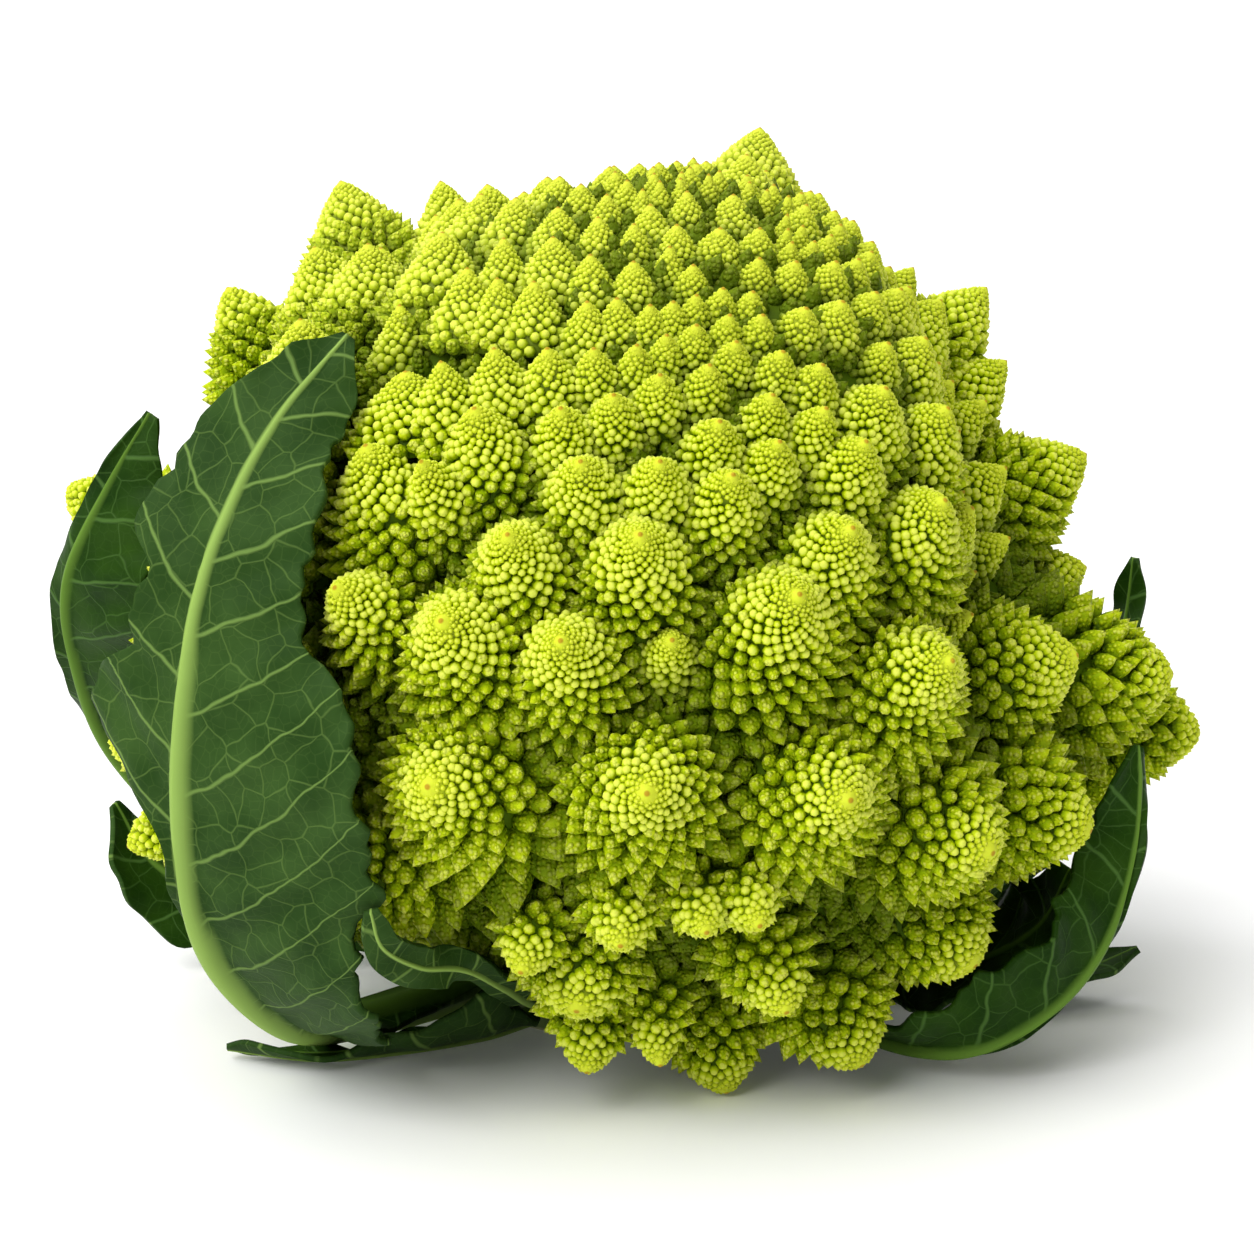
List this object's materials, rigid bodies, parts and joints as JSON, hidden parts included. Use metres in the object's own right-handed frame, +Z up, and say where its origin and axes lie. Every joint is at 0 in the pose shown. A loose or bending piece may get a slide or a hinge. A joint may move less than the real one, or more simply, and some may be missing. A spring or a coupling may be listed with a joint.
{
  "type": "romanesco_head",
  "caption": "Romanesco head: yellow-green spiral curd of pointed florets, with blue-green ribbed outer leaves curling up from its cut stem.",
  "frame": {"origin": "middle of the stem's cut face, on the table", "axes": "+Z up out of the stem, -Y to the front of the head, +X to the right seen from the front"},
  "size_m": [0.1723, 0.1688, 0.1344],
  "materials": {
    "curd": "waxy, finely beaded",
    "stem": "matte cut plant tissue",
    "leaf": "waxy leaf with pale ribs and veins"
  },
  "bodies": {
    "root": {"curd": "curd", "cut_stem": "stem", "leaf_front_left": "leaf", "leaf_back_left": "leaf", "leaf_low_left": "leaf", "leaf_floor_left": "leaf", "leaf_curl_front": "leaf", "leaf_front_right": "leaf", "leaf_inner_right": "leaf", "leaf_low_right": "leaf", "leaf_back_right": "leaf", "leaf_back_left_high": "leaf", "leaf_back_middle": "leaf"}
  },
  "joints": []
}
